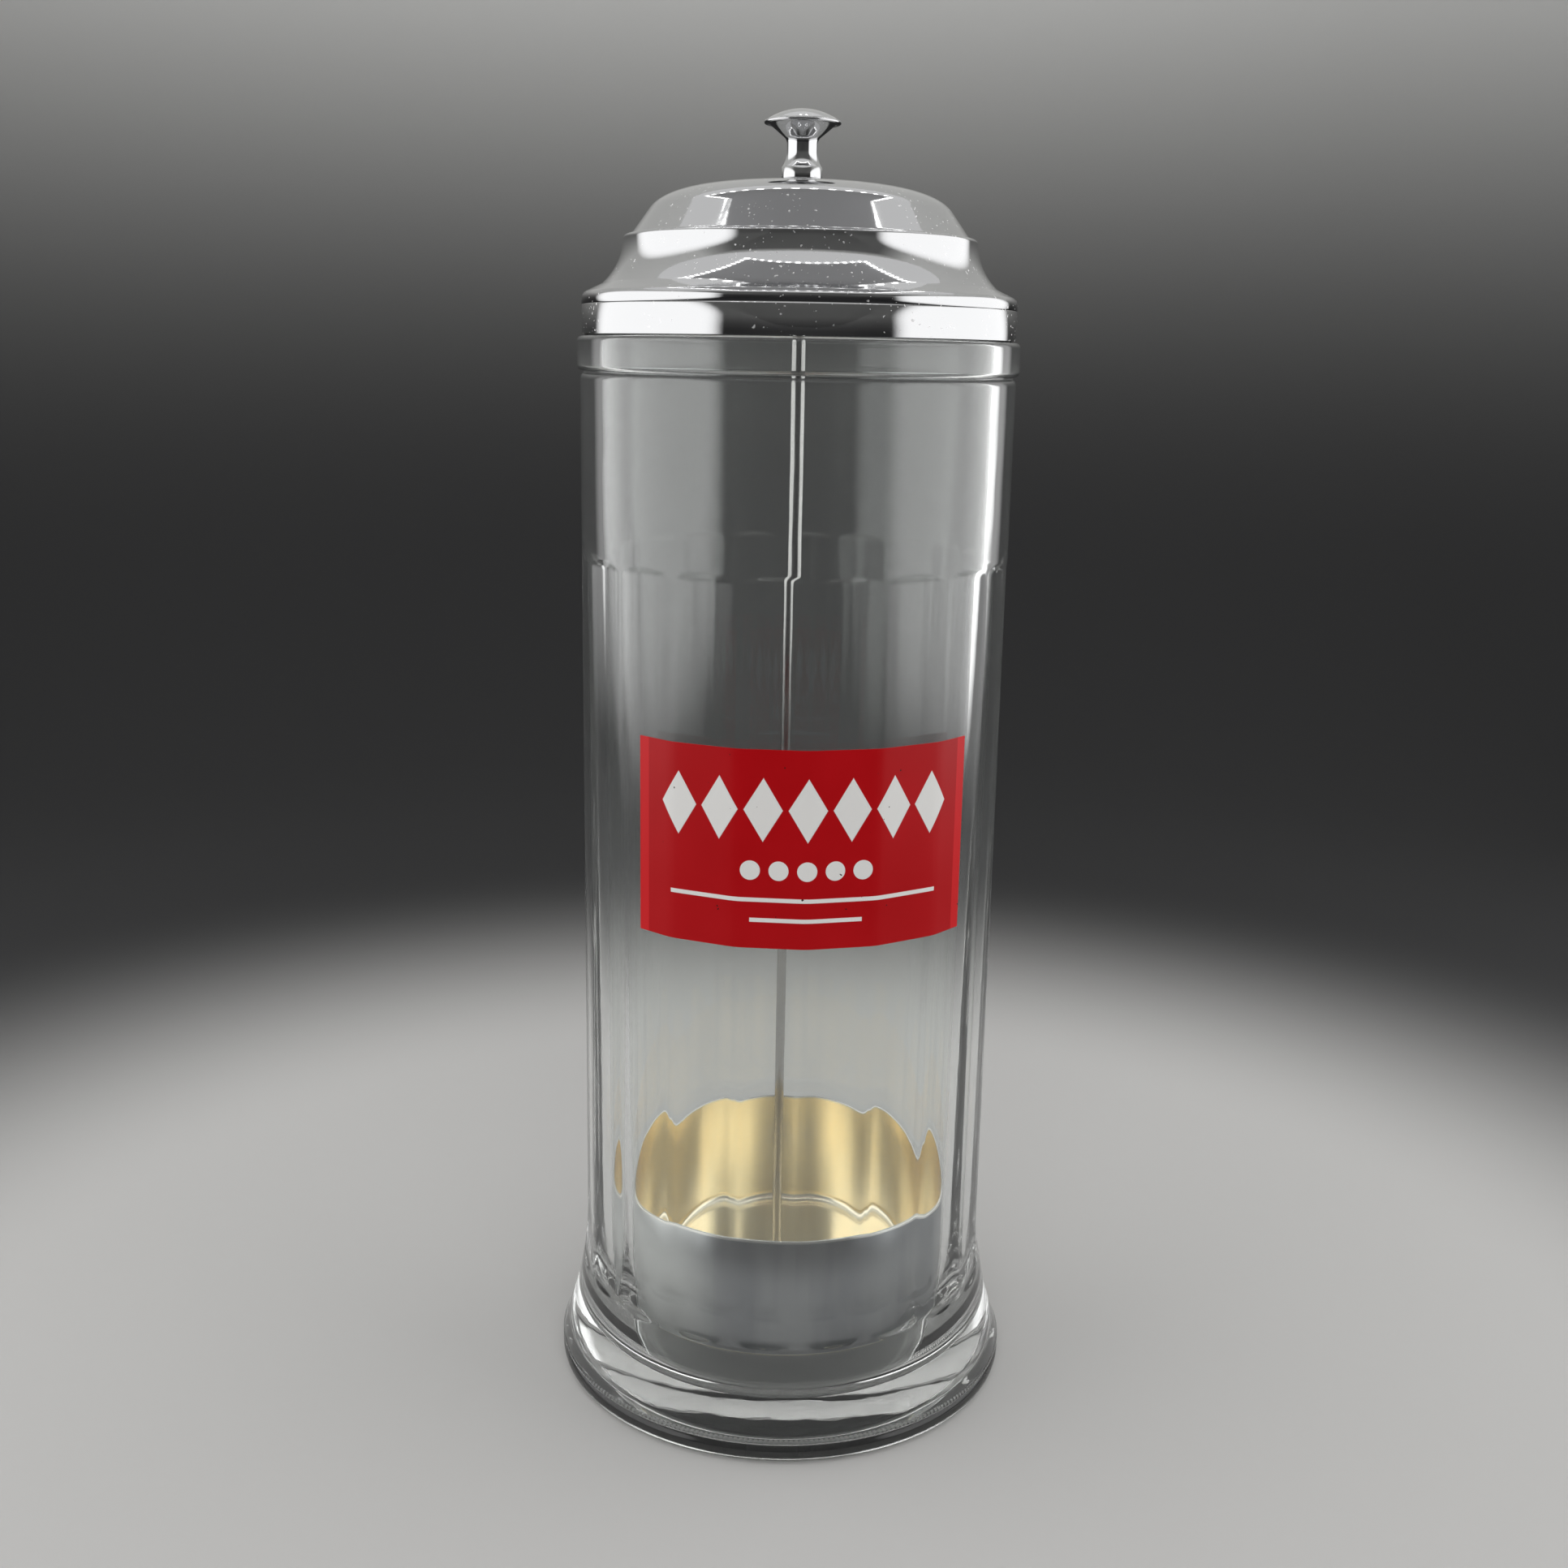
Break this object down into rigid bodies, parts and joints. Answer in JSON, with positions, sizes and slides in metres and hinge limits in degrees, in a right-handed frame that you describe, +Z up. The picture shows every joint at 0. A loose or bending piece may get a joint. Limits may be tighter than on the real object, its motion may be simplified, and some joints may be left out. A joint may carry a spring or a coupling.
{
  "type": "straw dispenser",
  "caption": "Glass straw dispenser with a flared foot and panelled sides; a knob lifts a chrome lid, a rod and a steel cup that raises the straws.",
  "frame": {"origin": "centre of the jar's foot on the surface it stands on", "axes": "+Z up along the jar's axis; the printed label faces -Y; +X is to the right when the label is looked at"},
  "size_m": [0.1082, 0.1082, 0.2912],
  "materials": {
    "clear_glass": "clear pressed glass, faint green in the foot",
    "red_print": "fired-on gloss red print with a plain white border pattern",
    "lid_chrome": "bright chrome plate on a steel stamping",
    "knob_chrome": "bright chrome plate on a turned knob",
    "fibre": "dark fibre washer",
    "rod_steel": "bright drawn steel",
    "cup_steel": "satin stainless sheet, drawn marks",
    "fastener_steel": "plain bright steel"
  },
  "bodies": {
    "jar": {"jar": "clear_glass", "label_print": "red_print"},
    "lifter": {"knob": "knob_chrome", "knob_washer": "fibre", "lift_rod": "rod_steel", "lid_washer": "fastener_steel", "lid_nut": "fastener_steel", "straw_cup": "cup_steel", "cup_washer": "fastener_steel", "cup_nut": "fastener_steel", "acorn_nut": "fastener_steel"},
    "lid": {"lid_shell": "lid_chrome"}
  },
  "joints": [
    {"name": "lid_lift", "type": "slide", "parent": "jar", "child": "lifter", "axis": [0, 0, 1], "range_m": [0, 0.24]},
    {"name": "lid_turn", "type": "hinge", "parent": "lifter", "child": "lid", "pos_m": [0, 0, 0.276], "axis": [0, 0, 1], "continuous": true}
  ]
}
